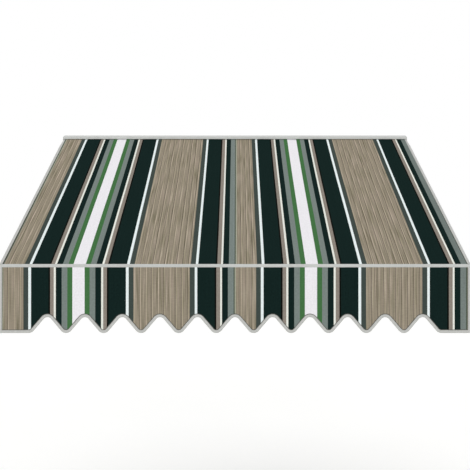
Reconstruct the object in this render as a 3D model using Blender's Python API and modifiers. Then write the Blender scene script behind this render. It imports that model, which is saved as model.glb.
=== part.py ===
"""Folding-arm awning: hood, roller with a tubular motor, torsion bar on two wall brackets, two
folding arms, front bar, striped canopy and scalloped valance. Metres, +Z up. The wall is the
plane y = 0, the awning stands out towards -Y, and z = 0 is the axis of the torsion bar.
"""

import math

import bmesh
import bpy
from mathutils import Vector

GAP = 0.0003  # running and seating clearance between pieces

# Cloth
CLOTH_WIDTH = 2.400
CLOTH_THICK = 0.0006
SLOPE = math.radians(30.8)
NOSE_OUT = 1.495  # wall to the front face of the front bar
BINDING_WIDTH = 0.013
BINDING_THICK = 0.0020
BINDING_ON_TOP = 0.0014  # the side tape above the face that lies on the roller
TUCK = 0.0028  # how far the canopy turns down into its groove
VALANCE_DROP = 0.3485  # top of the front bar's nose to the lowest edge of the valance
END_TAB = 0.14675  # straight lower edge at each end of the valance
SCALLOP_COUNT = 11
CREST_RADIUS = 0.0240
TROUGH_RADIUS = 0.0340
FLANK = math.radians(49.5)

# Torsion bar and what clamps on it
BAR_SIZE = 0.040
BAR_WALL = 0.0025
BAR_OUT = 0.050
BAR_CORNER = 0.003
BAR_PLUG_LENGTH = 0.040
WALL_PLATE_THICK = 0.008
WALL_PLATE_WIDTH = 0.084
WALL_PLATE_TOP = 0.062
WALL_PLATE_BOTTOM = -0.086
WALL_HOLE_RADIUS = 0.0055
WALL_HOLE_INSET = 0.016
BRACKET_INSET = 0.260  # middle of the bracket from the end of the bar
JAW_THICK = 0.008
JAW_SPLIT_DOWN = 0.004  # joint of shelf lip and jaw below the bar's axis
JAW_INSET = 0.002
SHELF_FILLET = 0.003
EDGE_CUT = 0.003
JAW_BOLT_RADIUS = 0.004
JAW_BOLT_SPREAD = 0.052
JAW_BOLT_HEAD = 0.0055
JAW_HEAD_RADIUS = 0.0075
BOLT_TAIL = 0.004  # thread that shows past a nut
BOLT_SINK = 0.002  # how far a head's face lies in the piece it is joined to

# Roller, motor and hood
ROLLER_OUT = 0.062
ROLLER_UP = 0.080
TUBE_RADIUS = 0.035
TUBE_WALL = 0.0015
TUBE_SHORT = 0.010  # how far the tube stops short of the cloth's edge
TURNS_ON_TUBE = 2
FULL_ROLL = 0.0052  # cloth on the tube when all of it is wound up
MOTOR_RADIUS = 0.0225
MOTOR_LENGTH = 0.460
MOTOR_HEAD_RADIUS = 0.031
MOTOR_HEAD = 0.008
MOTOR_SHAFT_RADIUS = 0.007
MOTOR_SCREW_CIRCLE = 0.022
MOTOR_SCREW_ANGLES = (math.radians(45), math.radians(225))
CROWN_LENGTH = 0.022
WHEEL_LENGTH = 0.030
WHEEL_CLEAR = 0.002
IDLER_PIN_RADIUS = 0.006
IDLER_PIN_SHORT = 0.004
IDLER_COLLAR_RADIUS = 0.012
IDLER_RIVET = 0.001
IDLER_CAP_LENGTH = 0.045
HOOD_WALL = 0.0020
HOOD_LIP_OUT = 0.125
HOOD_LIP_HEIGHT = 0.015
HOOD_CLEARANCE = 0.0020
HOOD_OVER_CLOTH = 0.005
HOOD_BACK_OUT = 0.007
HOOD_BACK_DROP = 0.026
HOOD_SHOULDER_DROP = 0.030  # roof down to the top of the hood's back leg
HOOD_HOOK = 0.003
ROOF_BACK = math.radians(150)
ROOF_FRONT = math.radians(76)
END_PLATE_THICK = 0.003
END_PLATE_CHIN = 0.012  # below the hood's front lip
END_SCREW_RADIUS = 0.0026
END_SCREW_REACH = 0.020
MOTOR_SCREW_REACH = 0.0085
SCREW_SPREAD = 0.009
SCREW_HEAD_RADIUS = 0.0048
SCREW_HEAD = 0.0028
CABLE_INLET_RADIUS = 0.0065

# Arms
SPREAD = math.radians(18.3)  # angle of the arms from straight out when the awning is out
ARM_DROP = 0.1135  # cloth down to the plane in which the arms fold
ARM_WIDTH = 0.040
ARM_HEIGHT = 0.052
ARM_WALL = 0.0025
ARM_CORNER = 0.010
ARM_ASIDE = 0.002  # from the line through the pivots to the side of the arm
SHOULDER_INSET = 0.120  # shoulder pin from the edge of the cloth
SHOULDER_OUT = 0.092  # along the slope from the torsion bar's axis
WRIST_BACK = 0.062  # from the nose's front face back to the wrist pin
KNUCKLE_RADIUS = 0.020
KNUCKLE_CLEAR = 0.0025
KNUCKLE_LENGTH = 0.075
KNUCKLE_COLLAR = 0.015
TONGUE_HEIGHT = 0.032
SPIGOT_LENGTH = 0.030
SPIGOT_ROOT = 0.004
PIN_RADIUS = 0.006
PIN_HEAD_RADIUS = 0.010
PIN_HEAD = 0.0025
SPRING_RADIUS = 0.011
SPRING_ROD_RADIUS = 0.004
SPRING_FOOT = 0.012
SPRING_BODY_SHARE = 0.62

# Shoulder carriers
YOKE_BACK = 0.038  # shoulder pin back to the pitch pin
YOKE_INNER = 0.006  # side of the yoke's stem towards the middle of the awning
YOKE_OUTER = 0.020
YOKE_BARREL = 0.010
YOKE_STEM_GAP = 0.002
YOKE_CLEAR = 0.0015
EAR_THICK = 0.009
MOUNT_WALL = 0.008
HEEL_DROP = 0.048  # arm plane down to the pitch bolt
HEEL_THICK = 0.011
HEEL_STEP = 0.0025
HEEL_BELOW = 0.008  # pitch bolt's axis down to the end of the heel
HEEL_SHOULDER = 0.012
LUG_BACK = -0.004  # faces of the lug, along the slope from the torsion bar's axis
LUG_FRONT = 0.018
LUG_BELOW = 0.008
LUG_ABOVE = 0.010
MOUNT_CORNER = 0.006
PITCH_BOLT_RADIUS = 0.004
PITCH_HEAD_RADIUS = 0.0068
PITCH_HEAD = 0.005
PIN_PROUD = 0.0015

# Front bar
FRONT_DEPTH = 0.055
FRONT_WALL = 0.0025
SHOE_PLATE = 0.0062
SHOE_REACH = 0.070
SHOE_BACK = 0.036
SHOE_WEB = 0.016
SHOE_WEB_INNER = 0.004
SHOE_TAIL = 0.018  # plate past the wrist pin, away from the bolts
SHOE_FRONT = 0.004
SHOE_CORNER = 0.006
STAND_INNER = 0.012
STAND_DEPTH = 0.016
STAND_ROOT = 0.004
BAR_OVER_ARM = 0.034  # arm plane up to the underside of the front bar
NOSE_SLOT_DOWN = 0.014
NOSE_DOWN = 0.030
GROOVE_RADIUS = 0.0030
SLOT_WIDTH = 0.0018
CANOPY_SLOT_BACK = 0.0075  # along the slope from the nose's top edge
CANOPY_GROOVE_DEPTH = 0.0050
VALANCE_GROOVE_DEPTH = 0.0052
NOSE_EDGE = 0.0012
FACE_BACK = 0.005  # lower front face behind the nose
FACE_BEND = 0.75  # share of the bar's depth at which that face starts
BLOCK_DEPTH = 0.018  # solid metal round the two grooves
BLOCK_BACK = 0.0105
BLOCK_DOWN = 0.021
BLOCK_FOOT = 0.004
FACE_WALL = 0.0035
FRONT_CAP = 0.003
SHOE_BOLT_RADIUS = 0.003
SHOE_HEAD_RADIUS = 0.0055
SHOE_HEAD = 0.005
SHOE_BOLT_REACH = 0.0055
SHOE_BOLT_SETS = (0.034, 0.058)  # from the wrist pin outwards
SHOE_BOLT_BACK = 0.023

COS, SIN = math.cos(SLOPE), math.sin(SLOPE)
HALF = CLOTH_WIDTH / 2
SHOULDER_X = HALF - SHOULDER_INSET
BRACKET_X = HALF - BRACKET_INSET
SCALLOP_PITCH = (CLOTH_WIDTH - 2 * END_TAB) / SCALLOP_COUNT
ROUNDS = CREST_RADIUS + TROUGH_RADIUS
FLANK_LENGTH = (SCALLOP_PITCH / 2 - ROUNDS * math.sin(FLANK)) / math.cos(FLANK)
SLOT_HALF = SLOT_WIDTH / 2
END_SCREWS_IN_BAR = (-SCREW_SPREAD, SCREW_SPREAD)
WOUND = TUBE_RADIUS + TURNS_ON_TUBE * CLOTH_THICK + GAP
ARM_SIDE = {"left": -1, "right": 1}
SECTION = (math.pi / 2, 0, -math.pi / 2)  # outlines drawn as (out, up), drawn out along X
ALONG_X = (0, math.pi / 2, 0)
ALONG_Y = (-math.pi / 2, 0, 0)
ALONG_ARM = (math.pi / 2, 0, 0)  # outlines drawn as (x, z), drawn out along Y

GREY = (0.56, 0.57, 0.55)
ZINC = (0.62, 0.62, 0.60)
BLACK = (0.03, 0.03, 0.03)
BEIGE = (0.28, 0.25, 0.19)


def slope_point(along, normal):
    """(out, up) of a point given along the slope and square to it, from the torsion bar's axis."""
    return (
        BAR_OUT + along * COS + normal * SIN,
        -along * SIN + normal * COS,
    )


def slope_place(out, up):
    """The inverse of slope_point."""
    return (
        (out - BAR_OUT) * COS - up * SIN,
        (out - BAR_OUT) * SIN + up * COS,
    )


ROLLER_ALONG, ROLLER_NORMAL = slope_place(ROLLER_OUT, ROLLER_UP)
CLOTH_NORMAL = ROLLER_NORMAL + WOUND + GAP  # underside of the canopy
ARM_NORMAL = CLOTH_NORMAL - ARM_DROP
NOSE_ALONG = (NOSE_OUT - BAR_OUT - CLOTH_NORMAL * SIN) / COS
NOSE_UP = slope_point(NOSE_ALONG, CLOTH_NORMAL)[1] - 2 * GAP
WRIST_ALONG = (NOSE_OUT - WRIST_BACK - BAR_OUT - ARM_NORMAL * SIN) / COS
ARM_LENGTH = (WRIST_ALONG - SHOULDER_OUT) / (2 * math.cos(SPREAD))  # pivot to pivot
PITCH_ALONG = SHOULDER_OUT - YOKE_BACK

model = None
cutters = None


def start():
    for o in list(bpy.data.objects):
        bpy.data.objects.remove(o, do_unlink=True)
    global model, cutters
    model = bpy.data.collections.new("folding_arm_awning")
    cutters = bpy.data.collections.new("cutters")
    for c in (model, cutters):
        bpy.context.scene.collection.children.link(c)


def finish(obj, colour, roughness=0.45, metallic=0.0):
    m = bpy.data.materials.new(obj.name)
    m.use_nodes = True
    shader = m.node_tree.nodes["Principled BSDF"]
    shader.inputs["Base Color"].default_value = (*colour, 1)
    shader.inputs["Roughness"].default_value = roughness
    shader.inputs["Metallic"].default_value = metallic
    obj.data.materials.clear()
    obj.data.materials.append(m)
    obj.data.shade_smooth()
    obj.data.set_sharp_from_angle(angle=math.radians(35))
    return obj


def empty(name, place, turn=(0, 0, 0), parent=None):
    e = bpy.data.objects.new(name, None)
    model.objects.link(e)
    e.location, e.rotation_euler, e.parent = place, turn, parent
    return e


def solid(name, mesh, place=(0, 0, 0), turn=(0, 0, 0), parent=None, cutter=False):
    o = bpy.data.objects.new(name, mesh)
    (cutters if cutter else model).objects.link(o)
    o.location, o.rotation_euler, o.parent = place, turn, parent
    if cutter:
        o.hide_render = True
        o.display_type = "WIRE"
    return o


def outline_mesh(name, loops, thick):
    """A flat outline, with holes where there are further loops, drawn out by thick about its plane."""
    curve = bpy.data.curves.new(name, "CURVE")
    curve.dimensions = "2D"
    curve.fill_mode = "BOTH"
    curve.extrude = thick / 2
    for loop in loops:
        spline = curve.splines.new("POLY")
        spline.points.add(len(loop) - 1)
        for point, (x, y) in zip(spline.points, loop):
            point.co = (x, y, 0, 1)
        spline.use_cyclic_u = True
    drawn = bpy.data.objects.new(name, curve)
    bpy.context.scene.collection.objects.link(drawn)
    bpy.context.view_layer.update()
    graph = bpy.context.evaluated_depsgraph_get()
    mesh = bpy.data.meshes.new_from_object(drawn.evaluated_get(graph))
    bpy.data.objects.remove(drawn, do_unlink=True)
    return closed(mesh)


def round_mesh(radius, length, sides=24):
    """A cylinder on local Z about its middle."""
    bm = bmesh.new()
    bmesh.ops.create_cone(
        bm, cap_ends=True, segments=sides, radius1=radius, radius2=radius, depth=length
    )
    mesh = bpy.data.meshes.new("round")
    bm.to_mesh(mesh)
    bm.free()
    return mesh


def turned_mesh(profile, sides=20):
    """A solid turned about local Z from (radius, height) points that run from bottom to top."""
    drawn = bpy.data.meshes.new("profile")
    points = [(radius, 0, height) for radius, height in profile]
    drawn.from_pydata(points, [(i, i + 1) for i in range(len(points) - 1)], [])
    spun = bpy.data.objects.new("profile", drawn)
    bpy.context.scene.collection.objects.link(spun)
    screw = spun.modifiers.new("screw", "SCREW")
    screw.steps = screw.render_steps = sides
    screw.use_merge_vertices = True
    screw.merge_threshold = 0.00001
    bpy.context.view_layer.update()
    graph = bpy.context.evaluated_depsgraph_get()
    mesh = bpy.data.meshes.new_from_object(spun.evaluated_get(graph))
    bpy.data.objects.remove(spun, do_unlink=True)
    return closed(mesh)


def closed(mesh):
    bm = bmesh.new()
    bm.from_mesh(mesh)
    bmesh.ops.remove_doubles(bm, verts=bm.verts, dist=0.00001)
    bmesh.ops.recalc_face_normals(bm, faces=bm.faces)
    bm.to_mesh(mesh)
    bm.free()
    return mesh


def combine(obj, tool, operation):
    m = obj.modifiers.new(operation.lower(), "BOOLEAN")
    m.operation, m.object, m.solver = operation, tool, "EXACT"


def cut(obj, mesh, place=(0, 0, 0), turn=(0, 0, 0), parent=None):
    combine(obj, solid(obj.name + "_cut", mesh, place, turn, parent, True), "DIFFERENCE")


def add(obj, mesh, place=(0, 0, 0), turn=(0, 0, 0), parent=None):
    combine(obj, solid(obj.name + "_add", mesh, place, turn, parent, True), "UNION")


def arc(cx, cy, radius, first, last, steps):
    return [
        (cx + radius * math.cos(t), cy + radius * math.sin(t))
        for t in (first + (last - first) * i / steps for i in range(steps + 1))
    ]


def rounded(width, height, radius, cx=0.0, cy=0.0, steps=4):
    x, y = width / 2 - radius, height / 2 - radius
    q = math.pi / 2
    points = []
    for i, (sx, sy) in enumerate(((1, 1), (-1, 1), (-1, -1), (1, -1))):
        points += arc(cx + sx * x, cy + sy * y, radius, i * q, (i + 1) * q, steps)
    return points


def circle(cx, cy, radius, steps=24):
    return arc(cx, cy, radius, 0, 2 * math.pi, steps)[:-1]


def strip(points, thick):
    """The closed outline of a strip of even thickness on the left of a line of points."""
    far = []
    for i, p in enumerate(points):
        before = Vector(points[max(i, 1)]) - Vector(points[max(i, 1) - 1])
        j = min(i, len(points) - 2)
        after = Vector(points[j + 1]) - Vector(points[j])
        a = Vector((-before.y, before.x)).normalized()
        b = Vector((-after.y, after.x)).normalized()
        middle = (a + b).normalized()
        far.append(Vector(p) + middle * thick / middle.dot(b))
    return list(points) + [tuple(p) for p in reversed(far)]


def section(name, loops, first_x, last_x, parent=None):
    """A solid whose section is drawn as (out, up) and which runs from first_x to last_x."""
    mesh = outline_mesh(name, loops, last_x - first_x)
    return solid(name, mesh, ((first_x + last_x) / 2, 0, 0), SECTION, parent)


def turned(name, radius, first_x, last_x, out, up, bore=0.0, sides=32, parent=None):
    """A round piece lying along X, solid or with a bore."""
    loops = [circle(0, 0, radius, sides)]
    if bore:
        loops.append(circle(0, 0, bore, sides))
    mesh = outline_mesh(name, loops, last_x - first_x)
    return solid(name, mesh, ((first_x + last_x) / 2, -out, up), SECTION, parent)


# Wall brackets, torsion bar and its ends


def wall_bracket(side_name, side):
    """Plate on the wall with a shelf and a lip that the torsion bar lies in."""
    half = BAR_SIZE / 2 + GAP
    low = -half - JAW_THICK
    front = BAR_OUT + half
    profile = [
        (0, WALL_PLATE_BOTTOM),
        (WALL_PLATE_THICK, WALL_PLATE_BOTTOM),
        (WALL_PLATE_THICK, low - SHELF_FILLET),
        (WALL_PLATE_THICK + SHELF_FILLET, low),
        (front + JAW_THICK, low),
        (front + JAW_THICK, -JAW_SPLIT_DOWN),
        (front, -JAW_SPLIT_DOWN),
        (front, -half),
        (WALL_PLATE_THICK, -half),
        (WALL_PLATE_THICK, WALL_PLATE_TOP),
        (0, WALL_PLATE_TOP),
    ]
    x = side * BRACKET_X
    wide = WALL_PLATE_WIDTH / 2
    o = section(f"wall_bracket_{side_name}", [profile], x - wide, x + wide)
    hole = wide - WALL_HOLE_INSET
    for dx in (-hole, hole):
        for up in (WALL_PLATE_TOP - WALL_HOLE_INSET, WALL_PLATE_BOTTOM + WALL_HOLE_INSET):
            mesh = round_mesh(WALL_HOLE_RADIUS, 4 * WALL_PLATE_THICK)
            cut(o, mesh, (x + dx, 0, up), (math.pi / 2, 0, 0))
        mesh = round_mesh(JAW_BOLT_RADIUS + GAP, BAR_SIZE)
        cut(o, mesh, (x + math.copysign(JAW_BOLT_SPREAD / 2, dx), -jaw_bolt_out(), low))
    finish(o, GREY, 0.4, 0.3)


def jaw_bolt_out():
    return (WALL_PLATE_THICK + BAR_OUT - BAR_SIZE / 2) / 2


def bracket_jaw(side_name, side):
    """Clamp over the top and front of the torsion bar, with the two bolts that draw it down."""
    half = BAR_SIZE / 2 + GAP
    front = BAR_OUT + half
    profile = [
        (WALL_PLATE_THICK + GAP, half),
        (front, half),
        (front, GAP - JAW_SPLIT_DOWN),
        (front + JAW_THICK, GAP - JAW_SPLIT_DOWN),
        (front + JAW_THICK, half + JAW_THICK - EDGE_CUT),
        (front + JAW_THICK - EDGE_CUT, half + JAW_THICK),
        (WALL_PLATE_THICK + GAP, half + JAW_THICK),
    ]
    x = side * BRACKET_X
    wide = WALL_PLATE_WIDTH / 2 - JAW_INSET
    o = section(f"bracket_jaw_{side_name}", [profile], x - wide, x + wide)
    top = half + JAW_THICK
    nut = -top - GAP
    bolt = [
        (0.0, nut - JAW_BOLT_HEAD - BOLT_TAIL),
        (JAW_BOLT_RADIUS, nut - JAW_BOLT_HEAD - BOLT_TAIL),
        (JAW_BOLT_RADIUS, nut - JAW_BOLT_HEAD),
        (JAW_HEAD_RADIUS, nut - JAW_BOLT_HEAD),
        (JAW_HEAD_RADIUS, nut),
        (JAW_BOLT_RADIUS, nut),
        (JAW_BOLT_RADIUS, top - BOLT_SINK),
        (JAW_HEAD_RADIUS, top - BOLT_SINK),
        (JAW_HEAD_RADIUS, top + JAW_BOLT_HEAD),
        (0.0, top + JAW_BOLT_HEAD),
    ]
    for dx in (-JAW_BOLT_SPREAD / 2, JAW_BOLT_SPREAD / 2):
        add(o, turned_mesh(bolt, 12), (x + dx, -jaw_bolt_out(), 0))
    finish(o, GREY, 0.4, 0.3)


def torsion_bar():
    inner = BAR_SIZE - 2 * BAR_WALL
    loops = [
        rounded(BAR_SIZE, BAR_SIZE, BAR_CORNER, BAR_OUT, 0),
        rounded(inner, inner, BAR_CORNER / 2, BAR_OUT, 0),
    ]
    finish(section("torsion_bar", loops, -HALF, HALF), GREY, 0.4, 0.2)


def bar_plug(side_name, side):
    """Insert in the end of the torsion bar, which the end plate is screwed to."""
    size = BAR_SIZE - 2 * BAR_WALL - 2 * GAP
    loops = [rounded(size, size, BAR_CORNER / 2, BAR_OUT, 0)]
    loops += [circle(BAR_OUT, up, END_SCREW_RADIUS + GAP, 12) for up in END_SCREWS_IN_BAR]
    outer = HALF - GAP
    inner = outer - BAR_PLUG_LENGTH
    o = section(f"bar_plug_{side_name}", loops, *sorted((side * inner, side * outer)))
    finish(o, BLACK, 0.6)


def hood_line():
    """Inner line of the hood, from the front lip's lower edge over the roller to its back edge."""
    roll = TUBE_RADIUS + FULL_ROLL + HOOD_CLEARANCE
    lip_low = cloth_up(HOOD_LIP_OUT) + HOOD_OVER_CLOTH
    top = ROLLER_UP + roll
    lip_top = lip_low + HOOD_LIP_HEIGHT
    lip_out = HOOD_LIP_OUT - HOOD_WALL
    back_out = HOOD_BACK_OUT + HOOD_WALL
    return [
        (lip_out - HOOD_HOOK, lip_low + HOOD_WALL),
        (lip_out, lip_low + HOOD_WALL),
        (lip_out, lip_top - HOOD_WALL - EDGE_CUT),
        (lip_out - EDGE_CUT, lip_top - HOOD_WALL),
        *arc(ROLLER_OUT, ROLLER_UP, roll, ROOF_FRONT, ROOF_BACK, 8),
        (back_out, top - HOOD_SHOULDER_DROP),
        (back_out, top - HOOD_SHOULDER_DROP - HOOD_BACK_DROP),
    ]


def cloth_up(out):
    """Height of the canopy's upper face at a distance from the wall."""
    return NOSE_UP + 2 * GAP + (NOSE_OUT - out) * SIN / COS + CLOTH_THICK / COS


def hood():
    line = hood_line()
    loops = [strip(list(reversed(line)), HOOD_WALL)]
    finish(section("hood", loops, -HALF, HALF), GREY, 0.4, 0.2)


def end_plate(side_name, side):
    """Cheek that closes the hood and carries the roller, with its screws."""
    lip_low = cloth_up(HOOD_LIP_OUT) + HOOD_OVER_CLOTH
    roof = ROLLER_UP + TUBE_RADIUS + FULL_ROLL + HOOD_CLEARANCE + HOOD_WALL
    half = BAR_SIZE / 2
    lip_top = lip_low + HOOD_LIP_HEIGHT
    profile = [
        (HOOD_BACK_OUT, -half + MOUNT_CORNER),
        (BAR_OUT - half, -half),
        (BAR_OUT + half, -half),
        (BAR_OUT + half, half),
        (ROLLER_OUT + TUBE_RADIUS, ROLLER_UP - MOTOR_HEAD_RADIUS),
        (HOOD_LIP_OUT, lip_low - END_PLATE_CHIN),
        (HOOD_LIP_OUT, lip_top - EDGE_CUT),
        (HOOD_LIP_OUT - EDGE_CUT, lip_top),
        *arc(ROLLER_OUT, ROLLER_UP, roof - ROLLER_UP, ROOF_FRONT, ROOF_BACK, 8),
        (HOOD_BACK_OUT, roof - HOOD_WALL - HOOD_SHOULDER_DROP),
    ]
    if side_name == "left":
        holes = [circle(ROLLER_OUT, ROLLER_UP, IDLER_PIN_RADIUS + GAP, 24)]
    else:
        holes = [circle(ROLLER_OUT, ROLLER_UP, CABLE_INLET_RADIUS, 16)]
    inner = HALF + GAP
    outer = inner + END_PLATE_THICK
    o = section(f"end_plate_{side_name}", [profile, *holes], *sorted((side * inner, side * outer)))
    screws = [(BAR_OUT, up, END_SCREW_REACH) for up in END_SCREWS_IN_BAR]
    if side_name == "right":
        screws += [(*motor_screw(t), MOTOR_SCREW_REACH) for t in MOTOR_SCREW_ANGLES]
    for out, up, reach in screws:
        screw = [
            (0.0, -reach),
            (END_SCREW_RADIUS, -reach),
            (END_SCREW_RADIUS, -END_PLATE_THICK / 3),
            (SCREW_HEAD_RADIUS, -END_PLATE_THICK / 3),
            (SCREW_HEAD_RADIUS, 0.45 * SCREW_HEAD),
            (0.6 * SCREW_HEAD_RADIUS, 0.93 * SCREW_HEAD),
            (0.0, SCREW_HEAD),
        ]
        add(o, turned_mesh(screw, 12), (side * outer, -out, up), (0, side * math.pi / 2, 0))
    finish(o, GREY, 0.4, 0.2)


def motor_screw(angle):
    return (
        ROLLER_OUT + MOTOR_SCREW_CIRCLE * math.cos(angle),
        ROLLER_UP + MOTOR_SCREW_CIRCLE * math.sin(angle),
    )


# Roller


def roller():
    tube_half = HALF - TUBE_SHORT
    bore = TUBE_RADIUS - TUBE_WALL
    fit = bore - GAP
    axis = empty("roller_axis", (0, -ROLLER_OUT, ROLLER_UP))
    o = turned("roller_tube", TUBE_RADIUS, -tube_half, tube_half, 0, 0, bore, 40, axis)
    finish(o, ZINC, 0.4, 0.8)
    o = turned("canopy_turns", WOUND, -HALF, HALF, 0, 0, TUBE_RADIUS + GAP, 40, axis)
    finish(o, BEIGE, 0.9)
    far = HALF - MOTOR_HEAD - MOTOR_LENGTH
    crown = (tube_half - CROWN_LENGTH, tube_half)
    o = turned("motor_crown", fit, *crown, 0, 0, MOTOR_RADIUS + GAP, 32, axis)
    finish(o, BLACK, 0.5)
    wheel = (far - WHEEL_CLEAR - WHEEL_LENGTH, far - WHEEL_CLEAR)
    o = turned("drive_wheel", fit, *wheel, 0, 0, MOTOR_SHAFT_RADIUS + GAP, 32, axis)
    finish(o, BLACK, 0.5)
    cap = (-tube_half, -tube_half + IDLER_CAP_LENGTH)
    o = turned("idler_cap", fit, *cap, 0, 0, IDLER_PIN_RADIUS + GAP, 32, axis)
    finish(o, BLACK, 0.5)


def tube_motor():
    """Sealed motor in the roller: its head is screwed to the right end plate."""
    head_outer = HALF - GAP
    head_inner = HALF - MOTOR_HEAD
    far = head_inner - MOTOR_LENGTH
    profile = [
        (0.0, far - WHEEL_LENGTH),
        (MOTOR_SHAFT_RADIUS, far - WHEEL_LENGTH),
        (MOTOR_SHAFT_RADIUS, far),
        (MOTOR_RADIUS, far),
        (MOTOR_RADIUS, head_inner),
        (MOTOR_HEAD_RADIUS, head_inner),
        (MOTOR_HEAD_RADIUS, head_outer),
        (0.0, head_outer),
    ]
    place = (0, -ROLLER_OUT, ROLLER_UP)
    o = solid("tube_motor", turned_mesh(profile, 32), place, ALONG_X)
    for t in MOTOR_SCREW_ANGLES:
        out, up = motor_screw(t)
        hole = round_mesh(END_SCREW_RADIUS + GAP, 4 * MOTOR_HEAD, 12)
        cut(o, hole, (HALF, -out, up), (0, math.pi / 2, 0))
    finish(o, BLACK, 0.5)


def idler_pin():
    """Pin with a collar inside the left end plate, on which the roller's idler cap turns."""
    tube_end = TUBE_SHORT - HALF
    tip = tube_end + IDLER_CAP_LENGTH - IDLER_PIN_SHORT
    rivet = -HALF - GAP - END_PLATE_THICK - IDLER_RIVET
    profile = [
        (0.0, rivet),
        (IDLER_PIN_RADIUS, rivet),
        (IDLER_PIN_RADIUS, -HALF),
        (IDLER_COLLAR_RADIUS, -HALF),
        (IDLER_COLLAR_RADIUS, tube_end - GAP),
        (IDLER_PIN_RADIUS, tube_end - GAP),
        (IDLER_PIN_RADIUS, tip),
        (0.0, tip),
    ]
    place = (0, -ROLLER_OUT, ROLLER_UP)
    finish(solid("idler_pin", turned_mesh(profile, 24), place, ALONG_X), ZINC, 0.35, 0.9)


# Shoulder carriers


def arm_mount(side_name, side):
    """Block on the torsion bar with two ears for the pitch pin and a lug for the pitch bolt."""
    x0 = side * SHOULDER_X
    inner = x0 - side * (YOKE_INNER + EAR_THICK + GAP)
    outer = x0 + side * (YOKE_OUTER + EAR_THICK + GAP)
    half = BAR_SIZE / 2 + GAP
    wall = half + MOUNT_WALL
    pin = slope_point(PITCH_ALONG, ARM_NORMAL)
    bolt_normal = ARM_NORMAL - HEEL_DROP
    ear = arc(*pin, YOKE_BARREL, math.radians(-75), math.radians(75), 8)
    profile = [
        (BAR_OUT - wall, -wall),
        (BAR_OUT - MOUNT_CORNER, -wall),
        slope_point(LUG_BACK, bolt_normal - LUG_BELOW),
        slope_point(LUG_FRONT, bolt_normal - LUG_BELOW),
        slope_point(LUG_FRONT, bolt_normal + LUG_ABOVE),
        *ear,
        (BAR_OUT + wall, wall - MOUNT_CORNER),
        (BAR_OUT + wall - MOUNT_CORNER, wall),
        (BAR_OUT - wall, wall),
    ]
    square = rounded(2 * half, 2 * half, BAR_CORNER, BAR_OUT, 0)
    hole = circle(*pin, PIN_RADIUS + GAP, 20)
    o = section(f"arm_mount_{side_name}", [profile, square, hole], *sorted((inner, outer)))
    stem = YOKE_INNER + YOKE_OUTER + 2 * GAP
    middle = x0 + side * (YOKE_OUTER - YOKE_INNER) / 2
    out, up = pin
    cut(o, round_mesh(YOKE_BARREL + YOKE_CLEAR, stem), (middle, -out, up), (0, math.pi / 2, 0))
    out, up = slope_point((LUG_BACK + LUG_FRONT) / 2, bolt_normal)
    hole = round_mesh(PITCH_BOLT_RADIUS + GAP, 3 * (LUG_FRONT - LUG_BACK), 16)
    cut(o, hole, (middle, -out, up), (math.pi / 2 + SLOPE, 0, 0))
    finish(o, GREY, 0.4, 0.2)


def heel_front():
    """Side of the heel away from the wall, measured from the shoulder pin towards the wall."""
    return YOKE_BACK - YOKE_BARREL - YOKE_STEM_GAP - HEEL_STEP


def shoulder_yoke(side_name, side):
    """Fork for the shoulder pin, hung on the pitch pin, with a heel for the pitch bolt."""
    plane = shoulder_plane(side_name)
    half_height = ARM_HEIGHT / 2
    stem = YOKE_INNER + YOKE_OUTER
    middle = side * (YOKE_OUTER - YOKE_INNER) / 2
    disc = arc(0, 0, KNUCKLE_RADIUS, math.radians(108), math.radians(360), 20)
    back = YOKE_BACK - YOKE_BARREL - YOKE_STEM_GAP
    stem_sides = [(YOKE_OUTER, back), (-YOKE_INNER, back)]
    outline = [(side * x, y) for x, y in [*disc, *stem_sides]]
    o = solid(
        f"shoulder_yoke_{side_name}", outline_mesh("yoke", [outline], ARM_HEIGHT), parent=plane
    )
    # The stem tapers to the barrel on the pitch pin and carries the heel below.
    heel_low = -HEEL_DROP - HEEL_BELOW
    side_profile = [
        (heel_front(), half_height - GAP),
        (heel_front(), heel_low),
        (heel_front() + HEEL_THICK, heel_low),
        (heel_front() + HEEL_THICK, -HEEL_SHOULDER),
        *arc(YOKE_BACK, 0, YOKE_BARREL, math.radians(-90), math.radians(90), 10),
    ]
    mesh = outline_mesh("yoke_side", [side_profile], stem)
    # Drawn as (toward the wall, normal) and drawn out along X.
    add(o, mesh, (middle, 0, 0), (math.pi / 2, 0, math.pi / 2), plane)
    clear = KNUCKLE_RADIUS + KNUCKLE_CLEAR
    cut(o, round_mesh(clear, TONGUE_HEIGHT + 2 * GAP, 32), parent=plane)
    cut(o, round_mesh(PIN_RADIUS + GAP, 2 * ARM_HEIGHT, 20), parent=plane)
    cut(
        o,
        round_mesh(PIN_RADIUS + GAP, 2 * stem, 20),
        (middle, YOKE_BACK, 0),
        (0, math.pi / 2, 0),
        plane,
    )
    finish(o, GREY, 0.4, 0.2)


planes = {}


def shoulder_plane(side_name):
    """Empty on the shoulder pin: local X is the awning's, local -Y runs out along the slope."""
    if side_name not in planes:
        side = ARM_SIDE[side_name]
        out, up = slope_point(SHOULDER_OUT, ARM_NORMAL)
        planes[side_name] = empty(
            f"shoulder_{side_name}_axis", (side * SHOULDER_X, -out, up), (SLOPE, 0, 0)
        )
    return planes[side_name]


def pitch_pin(side_name, side):
    plane = shoulder_plane(side_name)
    inner = -(YOKE_INNER + EAR_THICK + GAP) - PIN_PROUD
    outer = YOKE_OUTER + EAR_THICK + GAP + PIN_PROUD
    middle = side * (inner + outer) / 2
    o = solid(
        f"pitch_pin_{side_name}",
        round_mesh(PIN_RADIUS, outer - inner, 20),
        (middle, YOKE_BACK, 0),
        (0, math.pi / 2, 0),
        plane,
    )
    finish(o, ZINC, 0.35, 0.9)


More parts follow.
